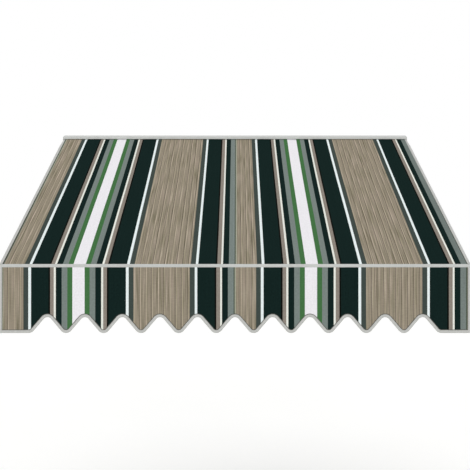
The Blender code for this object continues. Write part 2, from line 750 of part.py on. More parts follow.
def pitch_bolt(side_name, side):
    """Set bolt through the mount's lug that bears on the yoke's heel."""
    plane = shoulder_plane(side_name)
    tip = heel_front() + HEEL_THICK + GAP
    head_face = SHOULDER_OUT - LUG_BACK + PIN_PROUD
    bolt = [
        (0.0, tip),
        (PITCH_BOLT_RADIUS, tip),
        (PITCH_BOLT_RADIUS, head_face),
        (PITCH_HEAD_RADIUS, head_face),
        (PITCH_HEAD_RADIUS, head_face + PITCH_HEAD),
        (0.0, head_face + PITCH_HEAD),
    ]
    place = (side * (YOKE_OUTER - YOKE_INNER) / 2, 0, -HEEL_DROP)
    o = solid(f"pitch_bolt_{side_name}", turned_mesh(bolt, 12), place, ALONG_Y, plane)
    finish(o, ZINC, 0.35, 0.9)


def pivot_pin(name, parent, place, low, high, head_low=True, head_high=True):
    """Pin square to the arm plane, with a head or a retaining cap where there is room."""
    profile = [(0.0, low)]
    if head_low:
        profile += [
            (PIN_HEAD_RADIUS, low),
            (PIN_HEAD_RADIUS, low + PIN_HEAD),
            (PIN_RADIUS, low + PIN_HEAD),
        ]
    else:
        profile.append((PIN_RADIUS, low))
    if head_high:
        profile += [
            (PIN_RADIUS, high - PIN_HEAD),
            (PIN_HEAD_RADIUS, high - PIN_HEAD),
            (PIN_HEAD_RADIUS, high),
        ]
    else:
        profile.append((PIN_RADIUS, high))
    profile.append((0.0, high))
    finish(solid(name, turned_mesh(profile), place, parent=parent), ZINC, 0.35, 0.9)


# Arms


def arm_points(side, pivot, way, points):
    """Points given as (along, aside) from a pivot, in the frame of an arm that runs along -Y."""
    return [(-side * aside, -(pivot + way * along)) for along, aside in points]


def knuckle(name, side, pivot, way, parent, tongue):
    """Cast end of an arm: a tongue or a fork about the pivot, a neck, and a spigot in the tube."""
    wide = ARM_ASIDE + ARM_WIDTH
    start_angle = math.asin(ARM_ASIDE / KNUCKLE_RADIUS)
    disc = arc(0, 0, KNUCKLE_RADIUS, math.radians(80), 2 * math.pi + start_angle, 26)
    neck = [
        (KNUCKLE_LENGTH, ARM_ASIDE),
        (KNUCKLE_LENGTH, wide),
        (KNUCKLE_LENGTH - KNUCKLE_COLLAR, wide),
    ]
    outline = arm_points(side, pivot, way, [*disc, *neck])
    o = solid(name, outline_mesh(name, [outline], ARM_HEIGHT), parent=parent)
    inner = ARM_WALL + GAP
    spigot = rounded(ARM_WIDTH - 2 * inner, ARM_HEIGHT - 2 * inner, ARM_CORNER - inner)
    middle = KNUCKLE_LENGTH + (SPIGOT_LENGTH - SPIGOT_ROOT) / 2
    ((x, y),) = arm_points(side, pivot, way, [(middle, ARM_ASIDE + ARM_WIDTH / 2)])
    mesh = outline_mesh("spigot", [spigot], SPIGOT_LENGTH + SPIGOT_ROOT)
    add(o, mesh, (x, y, 0), ALONG_ARM, parent)
    clear = KNUCKLE_RADIUS + KNUCKLE_CLEAR
    half = TONGUE_HEIGHT / 2
    if tongue:
        outer = ARM_HEIGHT / 2 + PIN_HEAD
        for sign in (-1, 1):
            mesh = round_mesh(clear, outer - half, 32)
            cut(o, mesh, (0, -pivot, sign * (outer + half) / 2), parent=parent)
    else:
        cut(o, round_mesh(clear, 2 * (half + GAP), 32), (0, -pivot, 0), parent=parent)
    cut(o, round_mesh(PIN_RADIUS + GAP, 2 * ARM_HEIGHT, 20), (0, -pivot, 0), parent=parent)
    finish(o, GREY, 0.4, 0.2)


def arm_tube(name, side, parent):
    first = KNUCKLE_LENGTH + GAP
    last = ARM_LENGTH - KNUCKLE_LENGTH - GAP
    loops = [
        rounded(ARM_WIDTH, ARM_HEIGHT, ARM_CORNER),
        rounded(ARM_WIDTH - 2 * ARM_WALL, ARM_HEIGHT - 2 * ARM_WALL, ARM_CORNER - ARM_WALL),
    ]
    aside = -side * (ARM_ASIDE + ARM_WIDTH / 2)
    place = (aside, -(first + last) / 2, 0)
    o = solid(name, outline_mesh(name, loops, last - first), place, ALONG_ARM, parent)
    finish(o, GREY, 0.4, 0.2)


def arm_spring(name, side, parent):
    """Gas spring held between the two spigots in the front arm."""
    low = KNUCKLE_LENGTH + SPIGOT_LENGTH + GAP
    high = ARM_LENGTH - low
    body = low + (high - low) * (1 - SPRING_BODY_SHARE)
    profile = [
        (0.0, -high),
        (SPRING_RADIUS, -high),
        (SPRING_RADIUS, -body),
        (SPRING_ROD_RADIUS, -body),
        (SPRING_ROD_RADIUS, -low - SPRING_FOOT),
        (SPRING_RADIUS, -low - SPRING_FOOT),
        (SPRING_RADIUS, -low),
        (0.0, -low),
    ]
    place = (-side * (ARM_ASIDE + ARM_WIDTH / 2), 0, 0)
    finish(solid(name, turned_mesh(profile), place, ALONG_Y, parent), BLACK, 0.3, 0.6)


def arms(side_name, side):
    plane = shoulder_plane(side_name)
    rear = empty(f"rear_arm_{side_name}_axis", (0, 0, 0), (0, 0, -side * SPREAD), plane)
    elbow_place = (-side * ARM_LENGTH * math.sin(SPREAD), -ARM_LENGTH * math.cos(SPREAD), 0)
    front = empty(f"elbow_{side_name}_axis", elbow_place, (0, 0, side * SPREAD), plane)
    head = ARM_HEIGHT / 2 + GAP + PIN_HEAD
    pivot_pin(f"shoulder_pin_{side_name}", plane, (0, 0, 0), -head, head)
    knuckle(f"shoulder_knuckle_{side_name}", side, 0, 1, rear, True)
    arm_tube(f"rear_arm_{side_name}", side, rear)
    knuckle(f"elbow_fork_{side_name}", side, ARM_LENGTH, -1, rear, False)
    pivot_pin(f"elbow_pin_{side_name}", rear, (0, -ARM_LENGTH, 0), -head, head)
    knuckle(f"elbow_knuckle_{side_name}", side, 0, 1, front, True)
    arm_tube(f"front_arm_{side_name}", side, front)
    arm_spring(f"arm_spring_{side_name}", side, front)
    knuckle(f"wrist_knuckle_{side_name}", side, ARM_LENGTH, -1, front, True)


# Front bar


def nose(out, up):
    """(out, up) of a point given from the top edge of the front bar's nose."""
    return (NOSE_OUT + out, NOSE_UP + up)


def bar_point(along, normal):
    """(out, up) of a point of the front bar, given from its nose's top edge in slope directions."""
    return nose(along * COS + normal * SIN, -along * SIN + normal * COS)


def bar_low():
    return BAR_OVER_ARM - ARM_DROP + 2 * GAP * COS


def groove(mouth, direction, depth):
    """A round keder groove behind a narrow slot, walked from one lip of the mouth to the other."""
    d = Vector(direction).normalized()
    s = Vector((-d.y, d.x))
    centre = Vector(mouth) + d * depth
    start_angle = math.asin(SLOT_HALF / GROOVE_RADIUS)
    base = math.atan2(-d.y, -d.x)
    ring = arc(
        *centre, GROOVE_RADIUS, base - start_angle, base - 2 * math.pi + start_angle, 14
    )
    return [tuple(Vector(mouth) + s * SLOT_HALF), *ring, tuple(Vector(mouth) - s * SLOT_HALF)]


def canopy_slot():
    return bar_point(-CANOPY_SLOT_BACK, 0)


def valance_slot():
    return nose(0, -NOSE_SLOT_DOWN)


def front_outline(grooved):
    top_groove = face_groove = []
    if grooved:
        top_groove = groove(canopy_slot(), (-SIN, -COS), CANOPY_GROOVE_DEPTH)
        face_groove = groove(valance_slot(), (-1, 0), VALANCE_GROOVE_DEPTH)
    low = bar_low()
    return [
        bar_point(-FRONT_DEPTH, -EDGE_CUT),
        bar_point(-FRONT_DEPTH + EDGE_CUT, 0),
        *reversed(top_groove),
        bar_point(-NOSE_EDGE, 0),
        nose(0, -NOSE_EDGE),
        *reversed(face_groove),
        nose(0, -NOSE_DOWN + EDGE_CUT),
        nose(-EDGE_CUT, -NOSE_DOWN),
        bar_point(-FACE_BACK, low * FACE_BEND),
        bar_point(-FACE_BACK, low),
        bar_point(-FRONT_DEPTH, low),
    ]


def front_bar():
    low = bar_low()
    back = -FRONT_DEPTH + FRONT_WALL
    hollow = [
        bar_point(back, -FRONT_WALL),
        bar_point(-BLOCK_DEPTH, -FRONT_WALL),
        bar_point(-BLOCK_BACK, -BLOCK_DOWN),
        bar_point(-FACE_BACK - FACE_WALL, low * FACE_BEND - BLOCK_FOOT),
        bar_point(-FACE_BACK - FRONT_WALL, low + FRONT_WALL),
        bar_point(back, low + FRONT_WALL),
    ]
    half = HALF - FRONT_CAP - GAP
    o = section("front_bar", [front_outline(True), hollow], -half, half)
    for x, along in shoe_bolt_places():
        out, up = slope_point(along, ARM_NORMAL + BAR_OVER_ARM)
        mesh = round_mesh(SHOE_BOLT_RADIUS + GAP, 4 * SHOE_HEAD, 12)
        cut(o, mesh, (x, -out, up), (SLOPE, 0, 0))
    finish(o, GREY, 0.4, 0.2)


def front_cap(side_name, side):
    ends = sorted((side * (HALF - FRONT_CAP), side * HALF))
    o = section(f"front_cap_{side_name}", [front_outline(False)], *ends)
    finish(o, GREY, 0.5)


def wrist_shoe(side_name, side):
    """Fork for the wrist pin under a plate, with the two bolts that hold it to the front bar."""
    out, up = slope_point(WRIST_ALONG, ARM_NORMAL)
    plane = empty(f"wrist_{side_name}_axis", (side * SHOULDER_X, -out, up), (SLOPE, 0, 0))
    half = ARM_HEIGHT / 2
    disc = arc(0, 0, KNUCKLE_RADIUS, math.radians(-60), math.radians(265), 24)
    web = KNUCKLE_RADIUS + SHOE_WEB
    fork = [(side * x, y) for x, y in [(SHOE_WEB_INNER, -web), (KNUCKLE_RADIUS, -web), *disc]]
    o = solid(f"wrist_shoe_{side_name}", outline_mesh("shoe", [fork], ARM_HEIGHT), parent=plane)
    top = BAR_OVER_ARM - GAP
    low = top - SHOE_PLATE
    middle = ((SHOE_REACH - SHOE_TAIL) / 2, (SHOE_BACK - SHOE_FRONT) / 2)
    plate = rounded(SHOE_REACH + SHOE_TAIL, SHOE_BACK + SHOE_FRONT, SHOE_CORNER, *middle)
    plate = [(side * x, y) for x, y in plate]
    mesh = outline_mesh("plate", [plate], SHOE_PLATE)
    add(o, mesh, (0, 0, (top + low) / 2), parent=plane)
    stand = [
        (-side * STAND_INNER, 0),
        (side * KNUCKLE_RADIUS, 0),
        (side * KNUCKLE_RADIUS, STAND_DEPTH),
        (-side * STAND_INNER, STAND_DEPTH),
    ]
    stand_low = half - STAND_ROOT
    stand_high = low + STAND_ROOT / 2
    mesh = outline_mesh("stand", [stand], stand_high - stand_low)
    add(o, mesh, (0, 0, (stand_high + stand_low) / 2), parent=plane)
    clear = KNUCKLE_RADIUS + KNUCKLE_CLEAR
    cut(o, round_mesh(clear, TONGUE_HEIGHT + 2 * GAP, 32), parent=plane)
    cut(o, round_mesh(PIN_RADIUS + GAP, 2 * half + 4 * GAP, 20), parent=plane)
    for x, along in shoe_bolt_places():
        if x * side > 0:
            place = (x - side * SHOULDER_X, WRIST_ALONG - along, top)
            face = SHOE_PLATE / 6 - SHOE_PLATE
            bolt = [
                (0.0, face - SHOE_HEAD),
                (SHOE_HEAD_RADIUS, face - SHOE_HEAD),
                (SHOE_HEAD_RADIUS, face),
                (SHOE_BOLT_RADIUS, face),
                (SHOE_BOLT_RADIUS, SHOE_BOLT_REACH),
                (0.0, SHOE_BOLT_REACH),
            ]
            add(o, turned_mesh(bolt, 12), place, (0, 0, 0), plane)
    finish(o, GREY, 0.4, 0.2)
    pivot_pin(
        f"wrist_pin_{side_name}",
        plane,
        (0, 0, 0),
        -half - GAP - PIN_HEAD,
        half,
        head_high=False,
    )


def shoe_bolt_places():
    """(x, along the slope) of the four bolts that hold the wrist shoes."""
    return [
        (side * (SHOULDER_X + dx), WRIST_ALONG - SHOE_BOLT_BACK)
        for side in ARM_SIDE.values()
        for dx in SHOE_BOLT_SETS
    ]


# Cloth


def canopy():
    """The sheet from the roller to the front bar, turned down into the bar's upper groove."""
    half = HALF - BINDING_WIDTH - GAP
    along, up = Vector((COS, -SIN)), Vector((SIN, COS))
    first = Vector(slope_point(ROLLER_ALONG, CLOTH_NORMAL))
    turn = Vector(canopy_slot()) + up * 2 * GAP
    near, far = turn - along * CLOTH_THICK / 2, turn + along * CLOTH_THICK / 2
    outline = [
        first,
        near,
        near - up * TUCK,
        far - up * TUCK,
        far + up * CLOTH_THICK,
        first + up * CLOTH_THICK,
    ]
    o = section("canopy", [[tuple(p) for p in outline]], -half, half)
    finish(o, BEIGE, 0.9)


def canopy_binding(side_name, side):
    """Tape along the canopy's side edge."""
    first = ROLLER_ALONG + BINDING_THICK
    last = -CANOPY_SLOT_BACK / 2
    profile = [
        slope_point(first, CLOTH_NORMAL),
        bar_point(last, 2 * GAP),
        bar_point(last, 2 * GAP + BINDING_ON_TOP),
        slope_point(first, CLOTH_NORMAL + BINDING_ON_TOP),
    ]
    ends = sorted((side * (HALF - BINDING_WIDTH), side * HALF))
    o = section(f"canopy_binding_{side_name}", [profile], *ends)
    finish(o, GREY, 0.8)


def valance_edge(inset):
    """Lower edge of the valance as (x, down) points from left to right, moved in by inset."""
    crest, trough = CREST_RADIUS + inset, TROUGH_RADIUS - inset
    rise = ROUNDS * (1 - math.cos(FLANK)) + FLANK_LENGTH * math.sin(FLANK)
    low = -VALANCE_DROP
    crest_centre = low + rise - CREST_RADIUS
    trough_centre = low + TROUGH_RADIUS
    quarter = math.pi / 2
    side = HALF - inset
    points = [(-side, low + inset)]
    first_crest = -(SCALLOP_COUNT - 1) / 2 * SCALLOP_PITCH
    for i in range(SCALLOP_COUNT):
        x = first_crest + i * SCALLOP_PITCH
        left, right = x - SCALLOP_PITCH / 2, x + SCALLOP_PITCH / 2
        points += arc(left, trough_centre, trough, -quarter, -quarter + FLANK, 4)
        points += arc(x, crest_centre, crest, quarter + FLANK, quarter - FLANK, 8)
        points += arc(right, trough_centre, trough, -quarter - FLANK, -quarter, 4)[:-1]
    points.append((right, low + inset))
    points.append((side, low + inset))
    return points


def hanging(name, outline, thick, colour, roughness):
    """A sheet drawn as (x, up) from the nose's top edge, hanging in front of the front bar."""
    middle = NOSE_OUT + GAP + BINDING_THICK / 2
    place = (0, -middle, NOSE_UP)
    o = solid(name, outline_mesh(name, [outline], thick), place, (math.pi / 2, 0, 0))
    finish(o, colour, roughness)
    return o


def valance():
    top = SLOT_HALF - NOSE_SLOT_DOWN
    inner = valance_edge(BINDING_WIDTH + GAP)
    side = HALF - BINDING_WIDTH - GAP
    hanging("valance", [(-side, top), *inner, (side, top)], CLOTH_THICK, BEIGE, 0.9)
    outer = valance_edge(0)
    rim = valance_edge(BINDING_WIDTH)
    side = HALF - BINDING_WIDTH
    band = [(-HALF, top), *outer, (HALF, top), (side, top), *reversed(rim), (-side, top)]
    hanging("valance_binding", band, BINDING_THICK, GREY, 0.8)


def valance_keder():
    """Rod in the bar's face groove with the hem that leads out to the valance."""
    mouth = Vector(valance_slot())
    centre = mouth - Vector((VALANCE_GROOVE_DEPTH, 0))
    radius = GROOVE_RADIUS - GAP
    half = SLOT_HALF - GAP
    angle = math.asin(half / radius)
    cloth_back = NOSE_OUT + GAP + (BINDING_THICK - CLOTH_THICK) / 2 - GAP
    outline = [
        *arc(*centre, radius, angle, 2 * math.pi - angle, 16),
        (cloth_back, mouth.y - half),
        (cloth_back, mouth.y + half),
    ]
    inner = HALF - BINDING_WIDTH - GAP
    finish(section("valance_keder", [outline], -inner, inner), GREY, 0.6)


def main():
    start()
    torsion_bar()
    hood()
    tube_motor()
    idler_pin()
    roller()
    for side_name, side in ARM_SIDE.items():
        wall_bracket(side_name, side)
        bracket_jaw(side_name, side)
        bar_plug(side_name, side)
        end_plate(side_name, side)
        arm_mount(side_name, side)
        shoulder_yoke(side_name, side)
        pitch_pin(side_name, side)
        pitch_bolt(side_name, side)
        arms(side_name, side)
        front_cap(side_name, side)
        wrist_shoe(side_name, side)
        canopy_binding(side_name, side)
    front_bar()
    canopy()
    valance()
    valance_keder()
    bpy.context.view_layer.update()


main()
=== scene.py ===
"""Folding-arm awning, seen from the front: its cloth, its finishes, the light and the camera."""

import math

import bpy
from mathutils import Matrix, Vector


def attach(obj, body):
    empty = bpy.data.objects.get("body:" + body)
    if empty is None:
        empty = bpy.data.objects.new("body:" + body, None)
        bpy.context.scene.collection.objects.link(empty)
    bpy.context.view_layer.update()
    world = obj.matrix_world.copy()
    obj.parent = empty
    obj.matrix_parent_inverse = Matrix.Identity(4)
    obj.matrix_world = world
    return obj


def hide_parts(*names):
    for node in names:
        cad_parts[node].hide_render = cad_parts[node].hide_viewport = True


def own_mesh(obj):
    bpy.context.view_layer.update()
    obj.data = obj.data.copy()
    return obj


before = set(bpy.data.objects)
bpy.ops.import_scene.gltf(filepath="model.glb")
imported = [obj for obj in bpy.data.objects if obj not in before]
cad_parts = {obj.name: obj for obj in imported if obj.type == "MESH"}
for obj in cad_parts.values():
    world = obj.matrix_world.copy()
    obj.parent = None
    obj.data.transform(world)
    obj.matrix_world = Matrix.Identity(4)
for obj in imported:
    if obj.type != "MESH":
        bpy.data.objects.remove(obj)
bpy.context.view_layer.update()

# Sizes in metres, as in the part
GAP = 0.0003
HALF = 1.200
CLOTH_THICK = 0.0006
TAPE_WIDTH = 0.013
TAPE_ON_TOP = 0.0014
TAPE_THICK = 0.0020
TAPE_PROUD = 0.0042
SIDE_TAPE_STRETCH = 0.93  # the side tapes show a little less of their selvedge
RIM_WIDER = 1.40  # the valance's lower edge shows more of its tape than the sides do
SLOPE = math.radians(30.8)
BAR_OUT = 0.050
ROLLER_OUT = 0.062
ROLLER_UP = 0.080
TUBE_RADIUS = 0.035
TURNS = 2
NOSE_OUT = 1.495
NOSE_SLOT_DOWN = 0.014
SLOT_BACK = 0.0075
TUCK = 0.0028
FRONT_DEPTH = 0.055
VALANCE_DROP = 0.3485
END_TAB = 0.14675
SCALLOP_COUNT = 11
CREST_RADIUS = 0.0240
TROUGH_RADIUS = 0.0340
FLANK = math.radians(49.5)
ARM_DROP = 0.1135
SHOULDER_ALONG = 0.092
WRIST_BACK = 0.062
SPREAD = math.radians(18.3)
FOLDED = math.radians(87.9)

# Cloth as it is made up
PANEL = HALF - TAPE_WIDTH
SEAM_HALF = 0.009
TAPE_SHADOW = 0.0047  # painted shadow: dark line of cloth along the left tape, which stands off it
LAST_GREY = 0.050  # the grey stripe beside the right tape is a little darker
SAG = 0.005
UNDER_HOOD = 0.08
PIN_PITCH = 0.0306
CANOPY_SHIFT = 0.0035
CANOPY_SKEW = 0.0035
VALANCE_SHIFT = 0.0015
STITCH_PITCH = 0.0045
STITCH_LENGTH = 0.0034
THREAD = 0.00045
STITCH_INSET = 0.0032  # row of stitches from the tape's inner edge
SEAM_STITCH = 0.006  # rows of stitches either side of the seam's middle
CLOTH_INSET = 0.0012  # the cloth's cut edge inside its folded tape
SEAM_STEP = 0.0005  # half the width of the step at the seam's edges
TURN_DOWN = 0.0004  # where the canopy starts to turn into the bar's groove
TAPE_ROUND = 0.0012  # in from the tape's edges to where its round starts
TAPE_CORNER = 0.0004
TAPE_LAP = 0.0008  # how far the tape's lower lap stops short of its upper one
TAPE_LINING = 0.0002
STITCH_END = 0.004  # first and last stitch from the ends of the canopy
ROLL_CLEAR = 0.00005  # of the inner turn over the roller, past the usual gap
TWIST_PITCH = 0.0007  # of the sewing thread
HEM_RIB_PITCH = 0.0012
CLOTH_GRID = 0.022
VALANCE_GRID = 0.010
RIM_GRID = 0.008
WAVE = 0.0045  # most that the valance's lower edge stands forward
WAVE_STARTS = 0.05  # below the top of the front bar's nose

# Light, ground and camera
CAMERA_BACK = 3.705  # from the front bar's face
CAMERA_UP = 0.1518  # above the top of the front bar's nose
FLOOR_RADIUS = 60
FLOOR_UP = -2.75
SHADED_WORLD = 0.62  # the world's strength where neither camera nor gloss sees it
FLOOR_GLOW = 0.22

COS, SIN = math.cos(SLOPE), math.sin(SLOPE)
DOWN_SLOPE = Vector((0, -COS, -SIN))
OFF_SLOPE = Vector((0, -SIN, COS))


def slope_place(out, up):
    """Along the slope and square to it, from the torsion bar's axis."""
    return (out - BAR_OUT) * COS - up * SIN, (out - BAR_OUT) * SIN + up * COS


WOUND = TUBE_RADIUS + TURNS * CLOTH_THICK + GAP
ROLLER_ALONG, ROLLER_OFF = slope_place(ROLLER_OUT, ROLLER_UP)
CLOTH_OFF = ROLLER_OFF + WOUND + GAP
NOSE_ALONG = (NOSE_OUT - BAR_OUT - CLOTH_OFF * SIN) / COS
NOSE_UP = -NOSE_ALONG * SIN + CLOTH_OFF * COS - 2 * GAP
ARM_OFF = CLOTH_OFF - ARM_DROP
WRIST_ALONG = (NOSE_OUT - WRIST_BACK - BAR_OUT - ARM_OFF * SIN) / COS
TRAVEL = (WRIST_ALONG - SHOULDER_ALONG) * (1 - math.cos(FOLDED) / math.cos(SPREAD))
CLOTH_LENGTH = NOSE_ALONG - SLOT_BACK - ROLLER_ALONG
VALANCE_TOP = -NOSE_SLOT_DOWN + 0.0009
VALANCE_OUT = NOSE_OUT + GAP + TAPE_THICK / 2
SCALLOP_PITCH = 2 * (HALF - END_TAB) / SCALLOP_COUNT
ROUNDS = CREST_RADIUS + TROUGH_RADIUS
FLANK_LENGTH = (SCALLOP_PITCH / 2 - ROUNDS * math.sin(FLANK)) / math.cos(FLANK)


# Shader maths

class Value:
    """A socket of a finish, with the arithmetic that its masks need."""

    def __init__(self, finish, socket):
        self.finish = finish
        self.socket = socket

    def math(self, operation, *operands):
        values = dict(enumerate(operands))
        return self.finish.node("Math", values, operation=operation)

    def __add__(self, other):
        return self.math("ADD", self, other)

    __radd__ = __add__

    def __sub__(self, other):
        return self.math("SUBTRACT", self, other)

    def __rsub__(self, other):
        return self.math("SUBTRACT", other, self)

    def __mul__(self, other):
        return self.math("MULTIPLY", self, other)

    __rmul__ = __mul__

    def __truediv__(self, other):
        return self.math("DIVIDE", self, other)

    def __gt__(self, other):
        return self.math("GREATER_THAN", self, other)

    def __lt__(self, other):
        return self.math("LESS_THAN", self, other)

    def sine(self):
        return self.math("SINE", self)

    def absolute(self):
        return self.math("ABSOLUTE", self)

    def fraction(self):
        return self.math("FRACT", self)

    def between(self, low, high):
        """0 below low, 1 above high and smooth between them."""
        values = {0: self, 1: low, 2: high}
        return self.finish.node("MapRange", values, interpolation_type="SMOOTHSTEP")


class Finish:
    """A material, its shader's own values and the nodes that feed it."""

    def __init__(self, name, **values):
        self.material = bpy.data.materials.new(name)
        self.material.use_nodes = True
        self.tree = self.material.node_tree
        self.shader = self.tree.nodes["Principled BSDF"]
        for key, value in values.items():
            key = key.replace("_", " ").title().replace("Ior", "IOR")
            self.shader.inputs[key].default_value = value

    def feed(self, socket, value):
        if isinstance(value, Value):
            self.tree.links.new(value.socket, socket)
        else:
            socket.default_value = value

    def node(self, kind, values=None, output=0, stops=None, **settings):
        """Adds a node: its settings and stops first, then the values or links of its sockets."""
        node = self.tree.nodes.new("ShaderNode" + kind)
        for key, value in settings.items():
            setattr(node, key, value)
        if stops:
            ramp = node.color_ramp
            ramp.interpolation = stops[0]
            while len(ramp.elements) < len(stops) - 1:
                ramp.elements.new(1.0)
            for element, (place, colour) in zip(ramp.elements, stops[1:]):
                element.position = place
                element.color = colour
        for key, value in (values or {}).items():
            self.feed(node.inputs[key], value)
        return Value(self, node.outputs[output])

    def other_output(self, value, output):
        return Value(self, value.socket.node.outputs[output])

    def axes(self, source):
        parts = self.node("SeparateXYZ", {0: source})
        return [self.other_output(parts, i) for i in range(3)]

    def place(self):
        """The point's own x, y and z in metres."""
        return self.axes(self.node("TexCoord", output="Object"))

    def cloth_place(self):
        """Across and along the cloth, in metres."""
        return self.axes(self.node("UVMap", uv_map="cloth"))[:2]

    def vector(self, x, y, z=0.0):
        return self.node("CombineXYZ", {0: x, 1: y, 2: z})

    def noise(self, x, y, z=0.0, detail=2.0, roughness=0.5):
        values = {"Vector": self.vector(x, y, z), "Scale": 1.0, "Detail": detail, "Roughness": roughness}
        return self.node("TexNoise", values)

    def mix(self, factor, first, second, blend="MIX"):
        values = {0: factor, 6: first, 7: second}
        return self.node("Mix", values, output=2, data_type="RGBA", blend_type=blend)

    def colour(self, value):
        self.feed(self.shader.inputs["Base Color"], value)

    def roughness(self, value):
        self.feed(self.shader.inputs["Roughness"], value)

    def bump(self, height, distance, strength=1.0):
        values = {"Height": height, "Distance": distance, "Strength": strength}
        self.feed(self.shader.inputs["Normal"], self.node("Bump", values))


def shade(red, green, blue, alpha=1.0):
    """A colour as it is seen, 0 to 255, as the shader's own values."""
    def linear(c):
        c /= 255
        return c / 12.92 if c < 0.04045 else ((c + 0.055) / 1.055) ** 2.4
    return linear(red), linear(green), linear(blue), alpha


# Stripes of one panel of the cloth: colour with its share of mixed yarn, and width in metres
BEIGE = shade(147, 138, 121, 1.0)
CHARCOAL = shade(65, 74, 70, 0.35)
COOL_WHITE = shade(230, 239, 239, 0.0)
DEEP_GREEN = shade(20, 36, 34, 0.8)
NEAR_BLACK = shade(14, 15, 12, 0.2)
TAUPE = shade(140, 132, 123, 0.6)
CREAM = shade(230, 232, 223, 0.0)
GREY = shade(121, 131, 127, 0.35)
LEAF_GREEN = shade(68, 112, 68, 0.25)
WHITE = shade(236, 234, 238, 0.0)
DARK_LINE = shade(78, 88, 75, 0.2)
PALE_LINE = shade(162, 163, 145, 0.2)

BAND = [
    (CHARCOAL, 0.0245),
    (COOL_WHITE, 0.0138),
    (DEEP_GREEN, 0.0887),
    (NEAR_BLACK, 0.0085),
    (TAUPE, 0.0188),
    (CREAM, 0.0099),
    (DEEP_GREEN, 0.0305),
    (GREY, 0.0288),
    (LEAF_GREEN, 0.0259),
]
SCHEDULE = [
    (PALE_LINE, 0.0050),
    (BEIGE, 0.1037),
    *BAND,
    (WHITE, 0.0616),
    *reversed(BAND),
    (BEIGE, 0.2883),
    *BAND[:-1],
    (DARK_LINE, 0.0061),
]


def stripe_stops(part, count):
    """Stripes of one part of the panel's width, of count equal parts, from 0 to 1 across it."""
    total = sum(width for _, width in SCHEDULE)
    stops = ["CONSTANT"]
    place = 0.0
    for colour, width in SCHEDULE:
        first = place / total * count - part
        place += width
        last = place / total * count - part
        if last > 0 and first < 1:
            stops.append((max(first, 0.0), colour))
    return stops


def stripes(f, panel):
    """Colour and share of mixed yarn at a place across the panel, from four ramps side by side."""
    count = 4
    within = (panel * count).fraction()
    colour = share = None
    for part in range(count):
        ramp = f.node("ValToRGB", {0: within}, stops=stripe_stops(part, count))
        mixed = f.other_output(ramp, 1)
        if part:
            beyond = panel > part / count
            ramp = f.mix(beyond, colour, ramp)
            mixed = share + (mixed - share) * beyond
        colour, share = ramp, mixed
    return colour, share


# Weave of the striped cloth: cells of each noise to a metre, across and along
STREAKS = (260, 4.0)
FINE_YARNS = (620, 5.0)
SLUBS = (45, 160)
GRAIN = (130, 100)
DARK_PIN_CHANGES = 34
WARP_PITCH = 0.00050
WEFT_PITCH = 0.00075
WEAVE_HEIGHT = 0.00002
ALL_MIXED = 0.95  # share of mixed yarn that parts the beige stripes from the plain ones

# Pin lines of the beige: shares of their pitch, and how far they change its level
PIN_START = 0.2
PIN_BAND = 0.33
DARK_PIN_BAND = 0.16
PALE_PIN = 0.40
DARK_PIN = 0.46
DARKER_PIN = 0.34
# how deep the painted shadow beside the left tape gets, and how much darker the grey stripe beside the
# right tape is
LEFT_SHADOW_DEPTH = 0.52
RIGHT_SHADE = 0.13


def mixed_yarn(f, streak):
    """Beige of yarns in several tones, in streaks along the cloth."""
    dark = shade(108, 99, 83)
    olive = shade(134, 127, 107)
    warm = shade(155, 142, 128)
    light = shade(175, 165, 146)
    tones = ["LINEAR", (0.24, dark), (0.39, olive), (0.50, BEIGE), (0.61, warm), (0.76, light)]
    return f.node("ValToRGB", {0: streak}, stops=tones)


def pin_lines(f, across, panel):
    """Pale lines, each with a dark line beside it that is deeper in some places across the cloth."""
    pin = (panel * (PANEL / PIN_PITCH) + PIN_START).fraction()
    deeper = f.noise(across * DARK_PIN_CHANGES, 0.0, 5.0, 1.0).between(0.38, 0.52)
    return (pin < PIN_BAND) * PALE_PIN - (pin < DARK_PIN_BAND) * (DARK_PIN + deeper * DARKER_PIN)


def shadow_and_grey_beside_tapes(across, along):
    """Level of the cloth along the side tapes, less than 1 where it is darker: a painted shadow beside
    the left tape, deeper towards the front bar, and a darker grey stripe beside the right tape.
    """
    # painted shadow of the left tape on the cloth, growing towards the front bar
    left = (across < TAPE_WIDTH + TAPE_SHADOW - HALF) * along.between(0.35, 1.6)
    right = (across > HALF - LAST_GREY) * along.between(-1.0, 0.6)
    return 1 - LEFT_SHADOW_DEPTH * left - RIGHT_SHADE * right


def striped_cloth():
    """Solution-dyed awning cloth: stripes, mixed yarn in the beige, slubs, grain and a plain weave."""
    f = Finish("striped awning cloth", roughness=0.86, specular_ior_level=0.08, ior=1.15)
    across, along = f.cloth_place()
    panel = (across / PANEL + 4.0).fraction()
    stripe, mixed = stripes(f, panel)
    beige = mixed > ALL_MIXED
    streak = f.noise(across * STREAKS[0], along * STREAKS[1], 3.0, 1.0, 0.6)
    fine = f.noise(across * FINE_YARNS[0], along * FINE_YARNS[1], 7.0, 1.0)
    slub = f.noise(across * SLUBS[0], along * SLUBS[1], 11.0, 2.0)
    grain = f.noise(across * GRAIN[0], along * GRAIN[1], 17.0, 2.0, 0.6)
    base = f.mix(beige, stripe, mixed_yarn(f, streak))
    uneven = (fine - 0.5) * 0.55 + (slub - 0.5) * 0.30 + (streak - 0.5) * 0.15
    speckle = (grain - 0.5) * (mixed * 0.60 + 0.25) * (1 - beige)
    level = 1 + uneven * (mixed * 0.68 + 0.25) + speckle + pin_lines(f, across, panel) * beige
    f.colour(f.mix(1.0, base, level * shadow_and_grey_beside_tapes(across, along), "MULTIPLY"))
    f.roughness(0.84 + (slub - 0.5) * 0.12)
    warp = (across * (2 * math.pi / WARP_PITCH)).sine()
    weft = (along * (2 * math.pi / WEFT_PITCH)).sine()
    f.bump(warp * weft + warp * 0.4 + fine * 1.5, WEAVE_HEIGHT)
    return f.material


RIB_PITCH = 0.0011
SELVEDGE_HALF = 0.0024
LEAST_EDGE_SHADOW = 0.3  # share of the painted edge shadow that there is at the roller
